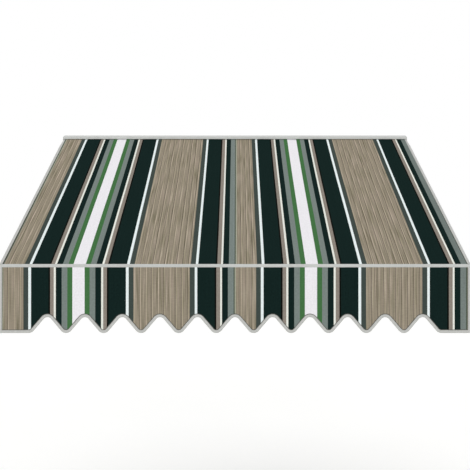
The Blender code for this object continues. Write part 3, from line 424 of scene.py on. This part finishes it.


def binding_tape():
    """Light grey woven tape, ribbed across; the dark line along its inner edge is partly edge thread and
    partly painted shadow, darker away from the roller.
    """
    f = Finish("light grey binding tape", roughness=0.78, specular_ior_level=0.15)
    across, along = f.cloth_place()
    rib = (along * (2 * math.pi / RIB_PITCH)).sine()
    mottle = f.noise(across * 300, along * 90, 2.0, 2.0)
    plain = shade(195, 195, 192)
    worn = shade(184, 185, 182)
    # dark line at the tape's inner edge: partly its edge thread, partly painted shadow
    selvedge_and_shadow = shade(90, 90, 84)
    body = f.mix(mottle.between(0.35, 0.7), plain, worn)
    edge = (across - TAPE_WIDTH).absolute() < SELVEDGE_HALF
    # painted shadow: the dark edge line deepens away from the roller
    edge_shadow = LEAST_EDGE_SHADOW + (1 - LEAST_EDGE_SHADOW) * along.between(0.1, 1.2)
    f.colour(f.mix(edge * edge_shadow, body, selvedge_and_shadow))
    f.roughness(0.76 + (mottle - 0.5) * 0.15)
    f.bump(rib + mottle, 0.00003)
    return f.material


def sewing_thread():
    f = Finish("sewing thread", roughness=0.6)
    x, y, z = f.place()
    twist = ((x + y + z) * (2 * math.pi / TWIST_PITCH)).sine()
    f.colour(f.mix(twist.between(-0.6, 0.8), shade(178, 179, 176), shade(205, 206, 203)))
    f.bump(twist, 0.00003)
    return f.material


def powder_coat(name, tint, lines=False):
    """Light grey powder coat; on drawn profiles the die's faint lines show through it."""
    f = Finish(name, roughness=0.42, coat_weight=0.05)
    x, y, z = f.place()
    peel = f.noise(x * 700, y * 700, z * 700, 2.0)
    cloud = f.noise(x * 3, y * 9, z * 9, 3.0)
    dust = f.noise(x * 60, y * 60, z * 60, 4.0, 0.7)
    clean = shade(*tint)
    dulled = shade(*(c - 9 for c in tint))
    f.colour(f.mix((cloud * 0.6 + dust * 0.4).between(0.42, 0.68), clean, dulled))
    f.roughness(0.38 + dust * 0.14)
    height = peel
    if lines:
        height = peel + f.noise(x * 1.5, y * 1400, z * 1400, 1.0) * 0.8
    f.bump(height, 0.00006)
    return f.material


def zinc_plate():
    """Zinc-plated turned steel, a little yellowed and scratched."""
    f = Finish("zinc plate", metallic=0.92, roughness=0.36)
    x, y, z = f.place()
    turned = f.noise(x * 2500, y * 2500, z * 2500, 1.0)
    haze = f.noise(x * 90, y * 90, z * 90, 3.0)
    f.colour(f.mix(haze.between(0.35, 0.7), shade(196, 198, 200), shade(182, 180, 168)))
    f.roughness(0.26 + haze * 0.22)
    f.bump(turned, 0.00002)
    return f.material


def galvanised():
    """Hot-dip galvanised tube: crystals of slightly different grey and gloss."""
    f = Finish("galvanised tube", metallic=0.85, roughness=0.42)
    x, y, z = f.place()
    values = {"Vector": f.vector(x, y, z), "Scale": 130.0}
    crystal = f.node("TexVoronoi", values, output="Color")
    grain = f.node("RGBToBW", {0: crystal})
    haze = f.noise(x * 25, y * 25, z * 25, 3.0)
    f.colour(f.mix(grain, shade(172, 175, 177), shade(196, 198, 199)))
    f.roughness(0.34 + grain * 0.16 + haze * 0.08)
    f.bump(grain + f.noise(x * 900, y * 900, z * 900) * 0.3, 0.00003)
    return f.material


def moulding(name, dark, light):
    """Grained plastic, a little uneven in tone."""
    f = Finish(name, roughness=0.5)
    x, y, z = f.place()
    grain = f.noise(x * 1600, y * 1600, z * 1600, 2.0)
    haze = f.noise(x * 40, y * 40, z * 40, 3.0)
    f.colour(f.mix(haze.between(0.3, 0.75), dark, light))
    f.roughness(0.44 + haze * 0.16)
    f.bump(grain, 0.00005)
    return f.material


def black_lacquer():
    f = Finish("black lacquer on the springs", roughness=0.3, coat_weight=0.3)
    x, y, z = f.place()
    haze = f.noise(x * 50, y * 50, z * 50, 3.0)
    f.colour(f.mix(haze.between(0.3, 0.75), shade(24, 24, 25), shade(36, 36, 37)))
    f.roughness(0.26 + haze * 0.12)
    f.bump(f.noise(x * 400, y * 400, z * 400), 0.00004)
    return f.material


def hem_plastic():
    """Light grey keder and hem seen in the bar's groove."""
    f = Finish("keder and hem", roughness=0.6)
    x, y, z = f.place()
    rib = (x * (2 * math.pi / HEM_RIB_PITCH)).sine()
    mottle = f.noise(x * 60, y * 400, z * 400, 2.0)
    f.colour(f.mix(mottle.between(0.3, 0.7), shade(196, 197, 194), shade(182, 183, 180)))
    f.roughness(0.58 + mottle * 0.1)
    f.bump(rib + mottle, 0.00004)
    return f.material


CLOTH = striped_cloth()
TAPE = binding_tape()
SEWING = sewing_thread()
PROFILE_COAT = powder_coat("powder coat on drawn profiles", (194, 196, 193), True)
CAST_COAT = powder_coat("powder coat on castings", (191, 193, 190))
ZINC = zinc_plate()
GALVANISED = galvanised()
MOULDING = moulding("black moulding", shade(34, 34, 35), shade(48, 48, 48))
CAP_MOULDING = moulding("light grey moulding", shade(188, 190, 187), shade(200, 201, 199))
LACQUER = black_lacquer()
HEM = hem_plastic()


# Finishes of the frame's own pieces

NODE_FINISH = {
    "hood": PROFILE_COAT,
    "front_bar": PROFILE_COAT,
    "rear_arm": PROFILE_COAT,
    "front_arm": PROFILE_COAT,
    "end_plate": CAST_COAT,
    "front_cap": CAP_MOULDING,
    "wall_bracket": CAST_COAT,
    "bracket_jaw": CAST_COAT,
    "arm_mount": CAST_COAT,
    "shoulder_yoke": CAST_COAT,
    "shoulder_knuckle": CAST_COAT,
    "elbow_fork": CAST_COAT,
    "elbow_knuckle": CAST_COAT,
    "wrist_knuckle": CAST_COAT,
    "wrist_shoe": CAST_COAT,
    "torsion_bar": GALVANISED,
    "roller_tube": GALVANISED,
    "bar_plug": MOULDING,
    "motor_crown": MOULDING,
    "drive_wheel": MOULDING,
    "idler_cap": MOULDING,
    "tube_motor": LACQUER,
    "arm_spring": LACQUER,
    "valance_keder": HEM,
}


def dress_frame():
    for name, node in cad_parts.items():
        kind = name.removesuffix("_left").removesuffix("_right")
        finish = NODE_FINISH.get(kind, ZINC)
        for slot in node.material_slots:
            slot.material = finish


# Meshes of cloth

def new_piece(name, points, faces, body, finish, places=None):
    """A piece from its points and faces, with the cloth's own places as its UV map."""
    mesh = bpy.data.meshes.new(name)
    mesh.from_pydata([tuple(p) for p in points], [], faces)
    if places:
        layer = mesh.uv_layers.new(name="cloth")
        for loop in mesh.loops:
            layer.data[loop.index].uv = places[loop.vertex_index]
    mesh.validate()
    piece = bpy.data.objects.new(name, mesh)
    bpy.context.scene.collection.objects.link(piece)
    piece.data.materials.append(finish)
    mesh.polygons.foreach_set("use_smooth", [True] * len(mesh.polygons))
    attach(piece, body)
    return piece


def grid_faces(rows, columns, closed=False):
    """Faces of a grid whose points come row by row; closed joins the last column to the first."""
    faces = []
    for r in range(rows - 1):
        for c in range(columns if closed else columns - 1):
            a, b = r * columns + c, r * columns + (c + 1) % columns
            faces.append((a, b, b + columns, a + columns))
    return faces


def outward(piece):
    """Turns the faces of a closed piece outwards."""
    bpy.ops.object.select_all(action="DESELECT")
    piece.select_set(True)
    bpy.context.view_layer.objects.active = piece
    bpy.ops.object.mode_set(mode="EDIT")
    bpy.ops.mesh.select_all(action="SELECT")
    bpy.ops.mesh.normals_make_consistent(inside=False)
    bpy.ops.object.mode_set(mode="OBJECT")


def apply_all(piece):
    bpy.ops.object.select_all(action="DESELECT")
    piece.select_set(True)
    bpy.context.view_layer.objects.active = piece
    for modifier in list(piece.modifiers):
        bpy.ops.object.modifier_apply(modifier=modifier.name)


def thicken(piece, thick, offset):
    modifier = piece.modifiers.new("cloth thickness", "SOLIDIFY")
    modifier.thickness = thick
    modifier.offset = offset
    apply_all(piece)


def parts(first, last, count):
    return [first + (last - first) * i / count for i in range(count + 1)]


def steps(first, last, pitch):
    return parts(first, last, max(1, round(abs(last - first) / pitch)))


def canopy_sag(x, along):
    """How far the canopy lies below its straight line, where it never comes over the front bar."""
    free = CLOTH_LENGTH * (1 - FRONT_DEPTH / (CLOTH_LENGTH - TRAVEL))
    if not 0 < along < free:
        return 0.0
    across = 0.15 + 0.85 * math.cos(math.pi * x / (2 * HALF))
    return SAG * across * math.sin(math.pi * along / free) ** 1.5


def seam_lift(x):
    """The second layer of cloth where the two panels overlap."""
    return CLOTH_THICK * 0.8 if abs(x) < SEAM_HALF else 0.0


def canopy_point(x, along, off=0.0):
    """A point of the canopy, off above its underside."""
    height = CLOTH_OFF + off - canopy_sag(x, along)
    place = DOWN_SLOPE * (ROLLER_ALONG + along) + OFF_SLOPE * height
    return Vector((x, place.y - BAR_OUT, place.z))


def gather_canopy(piece):
    """Gives the piece its own mesh; the share of the canopy that stays as the arms fold is worked out
    but not used.
    """
    keep = (CLOTH_LENGTH - TRAVEL) / CLOTH_LENGTH
    tuple(canopy_point(0, 0))
    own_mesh(piece)


def canopy_columns():
    half = HALF - CLOTH_INSET
    side = steps(SEAM_HALF + SEAM_STEP, half, CLOTH_GRID)
    middle = [0.0, SEAM_HALF - SEAM_STEP]
    right = middle + side
    return sorted({-x for x in right} | set(right))


def canopy():
    """Two panels of striped cloth, overlapped at the middle seam and tucked into the front bar."""
    columns = canopy_columns()
    rows = [(a, 0.0) for a in steps(0, CLOTH_LENGTH - CLOTH_THICK, CLOTH_GRID)]
    rows += [(CLOTH_LENGTH, -TURN_DOWN), (CLOTH_LENGTH, -TUCK)]
    points = []
    places = []
    length = 0.0
    before = rows[0]
    for along, off in rows:
        length += math.hypot(along - before[0], off - before[1])
        before = (along, off)
        askew = CANOPY_SHIFT + CANOPY_SKEW * (1 - along / CLOTH_LENGTH)
        for x in columns:
            points.append(canopy_point(x, along, off + seam_lift(x)))
            places.append((x - askew, length))
    faces = [tuple(reversed(f)) for f in grid_faces(len(rows), len(columns))]
    piece = new_piece("canopy_cloth", points, faces, "frame", CLOTH, places)
    thicken(piece, CLOTH_THICK, 1.0)
    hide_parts("canopy")
    return piece, length


def tape_round(thick, on_top):
    """Closed outline of a tape folded over an edge: (in from the edge, up from the underside)."""
    low = on_top - thick
    return [
        (TAPE_WIDTH, low + thick * 0.25),
        (TAPE_WIDTH - TAPE_LINING, on_top - thick * 0.25),
        (TAPE_WIDTH - TAPE_ROUND, on_top - thick * 0.06),
        (TAPE_WIDTH * 0.75, on_top),
        (TAPE_WIDTH * 0.25, on_top),
        (TAPE_ROUND, on_top - thick * 0.04),
        (TAPE_CORNER, on_top - thick * 0.22),
        (0.0, low + thick * 0.5),
        (TAPE_CORNER, low + thick * 0.22),
        (TAPE_ROUND, low + thick * 0.04),
        (TAPE_WIDTH * 0.25, low),
        (TAPE_WIDTH - TAPE_LAP, low),
    ]


def canopy_tape(side_name, side):
    """Tape sewn round the canopy's side edge, from the roller to the front bar."""
    outline = tape_round(TAPE_ON_TOP + TAPE_LINING, TAPE_ON_TOP)
    rows = steps(TAPE_THICK, NOSE_ALONG - SLOT_BACK / 2 - ROLLER_ALONG, CLOTH_GRID)
    points = []
    places = []
    for along in rows:
        clear = min(1.0, max(0.0, along - UNDER_HOOD) / UNDER_HOOD)
        for inset, up in outline:
            proud = TAPE_PROUD * clear * (1 - inset / TAPE_WIDTH)
            x = side * (HALF - inset + proud)
            points.append(canopy_point(x, along, up))
            places.append((inset * SIDE_TAPE_STRETCH, along))
    count = len(outline)
    faces = grid_faces(len(rows), count, True)
    faces += [tuple(range(count)), tuple(range(len(points) - count, len(points)))]
    name = f"canopy_tape_{side_name}"
    piece = new_piece(name, points, faces, "frame", TAPE, places)
    outward(piece)
    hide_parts(f"canopy_binding_{side_name}")
    gather_canopy(piece)
    return piece


def one_stitch():
    """Points and faces of one stitch of thread, along X, half sunk in the cloth."""
    bpy.ops.object.select_all(action="DESELECT")
    bpy.ops.mesh.primitive_uv_sphere_add(segments=6, ring_count=5, radius=0.5)
    ball = bpy.context.object
    bpy.ops.object.mode_set(mode="EDIT")
    bpy.ops.mesh.select_all(action="SELECT")
    bpy.ops.transform.rotate(value=math.pi / 2, orient_axis="Y", center_override=(0, 0, 0))
    bpy.ops.transform.resize(value=(STITCH_LENGTH, THREAD, THREAD), center_override=(0, 0, 0))
    bpy.ops.object.mode_set(mode="OBJECT")
    points = [v.co.copy() for v in ball.data.vertices]
    faces = [tuple(p.vertices) for p in ball.data.polygons]
    bpy.data.objects.remove(ball)
    return points, faces


STITCH_POINTS, STITCH_FACES = one_stitch()


def stitching(name, lines, body):
    """Rows of stitches along lines of points; each line comes with the way that its cloth faces."""
    points = []
    faces = []
    for line, facing in lines:
        for place, ahead in walk(line):
            side = facing.cross(ahead).normalized()
            first = len(points)
            for p in STITCH_POINTS:
                points.append(place + ahead * p.x + side * p.y + facing * p.z)
            faces += [tuple(first + i for i in f) for f in STITCH_FACES]
    return new_piece(name, points, faces, body, SEWING)


def walk(line):
    """Places at the stitch pitch along a line of points, with the way ahead at each."""
    left = STITCH_PITCH / 2
    for a, b in zip(line, line[1:]):
        step = b - a
        length = step.length
        if length < 1e-6:
            continue
        ahead = step / length
        while left < length:
            yield a + ahead * left, ahead
            left += STITCH_PITCH
        left -= length


def canopy_stitching():
    """Rows along both side tapes and two rows down the middle seam."""
    rows = steps(STITCH_END, CLOTH_LENGTH - STITCH_END, CLOTH_GRID)
    lines = []
    for x, off in (
        (-HALF + TAPE_WIDTH - STITCH_INSET, TAPE_ON_TOP),
        (HALF - TAPE_WIDTH + STITCH_INSET, TAPE_ON_TOP),
        (-SEAM_STITCH, CLOTH_THICK * 1.8),
        (SEAM_STITCH, CLOTH_THICK * 1.8),
    ):
        lines.append(([canopy_point(x, a, off) for a in rows], OFF_SLOPE))
    piece = stitching("canopy_stitching", lines, "frame")
    gather_canopy(piece)
    return piece


def canopy_roll():
    """The turns of cloth that stay on the roller, wound as one spiral."""
    segments = 48
    count = segments * TURNS
    inner = TUBE_RADIUS + GAP + ROLL_CLEAR
    step = (WOUND - CLOTH_THICK * 0.5 - inner) / count
    columns = steps(-HALF, HALF, 0.30)
    points = []
    places = []
    for i in range(count + 1):
        angle = 2 * math.pi * i / segments
        radius = inner + step * i
        y = -ROLLER_OUT + radius * math.cos(angle)
        z = ROLLER_UP + radius * math.sin(angle)
        for x in columns:
            points.append((x, y, z))
            places.append((x - CANOPY_SHIFT - CANOPY_SKEW, radius * angle))
    faces = grid_faces(count + 1, len(columns))
    piece = new_piece("canopy_roll", points, faces, "roller", CLOTH, places)
    outward(piece)
    thicken(piece, CLOTH_THICK * 0.6, -1.0)
    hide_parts("canopy_turns")


# Valance

def arc(cx, cy, radius, first, last, count):
    return [
        (cx + radius * math.cos(a), cy + radius * math.sin(a))
        for a in (first + (last - first) * i / count for i in range(count + 1))
    ]


def scalloped_edge(inset):
    """Lower edge of the valance as (x, up) from the bar's top edge, moved in by inset."""
    crest, trough = CREST_RADIUS + inset, TROUGH_RADIUS - inset
    rise = ROUNDS * (1 - math.cos(FLANK)) + FLANK_LENGTH * math.sin(FLANK)
    low = -VALANCE_DROP
    crest_centre = low + rise - CREST_RADIUS
    trough_centre = low + TROUGH_RADIUS
    quarter = math.pi / 2
    points = []
    first_crest = -(SCALLOP_COUNT - 1) / 2 * SCALLOP_PITCH
    for i in range(SCALLOP_COUNT):
        x = first_crest + i * SCALLOP_PITCH
        left, right = x - SCALLOP_PITCH / 2, x + SCALLOP_PITCH / 2
        points += arc(left, trough_centre, trough, -quarter, -quarter + FLANK, 8)
        points += arc(x, crest_centre, crest, quarter + FLANK, quarter - FLANK, 12)
        points += arc(right, trough_centre, trough, -quarter - FLANK, -quarter, 8)[:-1]
    points.append((right, low + inset))
    return points


def valance_wave(x, down):
    """How far the hanging cloth stands forward, more towards its lower edge."""
    free = max(0.0, down - WAVE_STARTS) / (VALANCE_DROP - WAVE_STARTS)
    wave = 0.5 + 0.30 * math.sin(x * 9.1 + 0.6) + 0.20 * math.sin(x * 22.3 + 2.0)
    return WAVE * wave * free ** 1.5


def valance_point(x, up, forward=0.0):
    out = VALANCE_OUT + forward + valance_wave(x, -up)
    return Vector((x, -out, NOSE_UP + up))


def even(points, pitch):
    """The same line with points put in where they are further apart than pitch."""
    line = [points[0]]
    for a, b in zip(points, points[1:]):
        count = max(1, math.ceil(math.dist(a, b) / pitch))
        line += [tuple(p + (q - p) * i / count for p, q in zip(a, b)) for i in range(1, count + 1)]
    return line


def valance():
    """The scalloped strip of the same cloth that hangs from the bar's face groove."""
    side = HALF - CLOTH_INSET
    low = -VALANCE_DROP + CLOTH_INSET
    edge = even([(-side, low), *scalloped_edge(CLOTH_INSET), (side, low)], VALANCE_GRID)
    rows = 22
    points = []
    places = []
    area = 0.0
    for r in range(rows + 1):
        for x, low in edge:
            up = VALANCE_TOP + (low - VALANCE_TOP) * r / rows
            points.append(valance_point(x, up, -CLOTH_THICK / 2))
            places.append((x + VALANCE_SHIFT, up))
    for (xa, la), (xb, lb) in zip(edge, edge[1:]):
        area += (xb - xa) * (VALANCE_TOP - (la + lb) / 2)
    faces = grid_faces(rows + 1, len(edge))
    piece = new_piece("valance_cloth", points, faces, "front_bar_body", CLOTH, places)
    thicken(piece, CLOTH_THICK, 1.0)
    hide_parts("valance")
    return piece, area


def valance_rim(inset):
    """Down the left side, along the scallops and up the right side."""
    side = HALF - inset
    lower = inset * RIM_WIDER
    rows = 17
    left = parts(VALANCE_TOP, -VALANCE_DROP + lower, rows)
    return [*((-side, u) for u in left), *scalloped_edge(lower), *((side, u) for u in reversed(left))]


def valance_tape():
    """Tape folded over the sides and the scalloped edge."""
    outline = tape_round(TAPE_THICK, TAPE_THICK)
    rims = [valance_rim(inset) for inset, _ in outline]
    points = []
    places = []
    length = CLOTH_LENGTH
    outermost = rims[[inset for inset, _ in outline].index(0.0)]
    before = outermost[0]
    for i, middle in enumerate(outermost):
        length += math.dist(before, middle)
        before = middle
        for rim, (inset, up) in zip(rims, outline):
            x, height = rim[i]
            points.append(valance_point(x, height, up - TAPE_THICK / 2))
            places.append((inset, length))
    count = len(outline)
    rows = len(rims[0])
    faces = grid_faces(rows, count, True)
    faces += [tuple(range(count)), tuple(range(len(points) - count, len(points)))]
    piece = new_piece("valance_tape", points, faces, "front_bar_body", TAPE, places)
    outward(piece)
    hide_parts("valance_binding")
    return piece


def valance_stitching():
    """One row along the tape, in front and behind."""
    rim = even(valance_rim(TAPE_WIDTH - STITCH_INSET), RIM_GRID)
    lines = []
    for side in (1, -1):
        line = [valance_point(x, up, side * TAPE_THICK / 2) for x, up in rim]
        lines.append((line, Vector((0, -side, 0))))
    return stitching("valance_stitching", lines, "front_bar_body")


def cloth():
    sheet, length = canopy()
    tapes = [canopy_tape("left", -1), canopy_tape("right", 1)]
    rows = canopy_stitching()
    gather_canopy(sheet)
    canopy_roll()
    hanging, area = valance()
    tape = valance_tape()
    rows = valance_stitching()


# Light, ground and camera

def plain_surroundings():
    world = bpy.data.worlds.new("pale studio")
    bpy.context.scene.world = world
    world.use_nodes = True
    tree = world.node_tree
    back = tree.nodes["Background"]
    rays = tree.nodes.new("ShaderNodeLightPath")
    seen = None
    for ray in ("Is Camera Ray", "Is Glossy Ray", "Is Transmission Ray"):
        if seen is None:
            seen = rays.outputs[ray]
            continue
        both = tree.nodes.new("ShaderNodeMath")
        both.operation = "MAXIMUM"
        tree.links.new(seen, both.inputs[0])
        tree.links.new(rays.outputs[ray], both.inputs[1])
        seen = both.outputs[0]
    level = tree.nodes.new("ShaderNodeMapRange")
    level.inputs["To Min"].default_value = SHADED_WORLD
    level.inputs["To Max"].default_value = 1.0
    tree.links.new(seen, level.inputs["Value"])
    tree.links.new(level.outputs[0], back.inputs["Strength"])
    back.inputs["Color"].default_value = (1, 1, 1, 1)


def soft_light(name, way, spread, level):
    """Even light along way; a surface that faces it gets level times white."""
    lamp = bpy.data.lights.new(name, "SUN")
    lamp.energy = level * math.pi
    lamp.angle = math.radians(spread)
    holder = bpy.data.objects.new(name, lamp)
    holder.location = Vector(way) * -6
    holder.rotation_euler = Vector(way).to_track_quat("-Z", "Y").to_euler()
    bpy.context.scene.collection.objects.link(holder)


def ground():
    """A pale floor a storey below the awning, out to where it can't be told from the backdrop."""
    bpy.ops.object.select_all(action="DESELECT")
    place = (0, 0, FLOOR_UP)
    bpy.ops.mesh.primitive_circle_add(vertices=96, radius=FLOOR_RADIUS, fill_type="NGON", location=place)
    floor = bpy.context.object
    floor.name = "floor"
    f = Finish("pale floor", roughness=0.9)
    x, y, _ = f.place()
    cloud = f.noise(x * 0.8, y * 0.8, 0.0, 3.0)
    f.colour(f.mix(cloud, shade(241, 241, 239), shade(245, 245, 244)))
    rays = f.node("LightPath")
    glow = f.mix(rays, (0, 0, 0, 1), (FLOOR_GLOW, FLOOR_GLOW, FLOOR_GLOW, 1))
    f.feed(f.shader.inputs["Emission Color"], glow)
    f.shader.inputs["Emission Strength"].default_value = 1.0
    floor.data.materials.append(f.material)


def camera():
    lens = bpy.data.cameras.new("front view")
    lens.sensor_width = 36
    lens.lens = lens.sensor_width * CAMERA_BACK / (2 * HALF)
    lens.clip_end = 200
    eye = bpy.data.objects.new("front view", lens)
    eye.location = (0, -NOSE_OUT - CAMERA_BACK, NOSE_UP + CAMERA_UP)
    eye.rotation_euler = (math.pi / 2, 0, 0)
    bpy.context.scene.collection.objects.link(eye)
    bpy.context.scene.camera = eye


camera()
plain_surroundings()
soft_light("high soft light", (0.10, 0.50, -0.86), 40, 0.25)
soft_light("front soft light", (-0.08, 0.98, -0.12), 50, 0.24)
ground()
bpy.context.scene.view_settings.view_transform = "Standard"
dress_frame()
cloth()
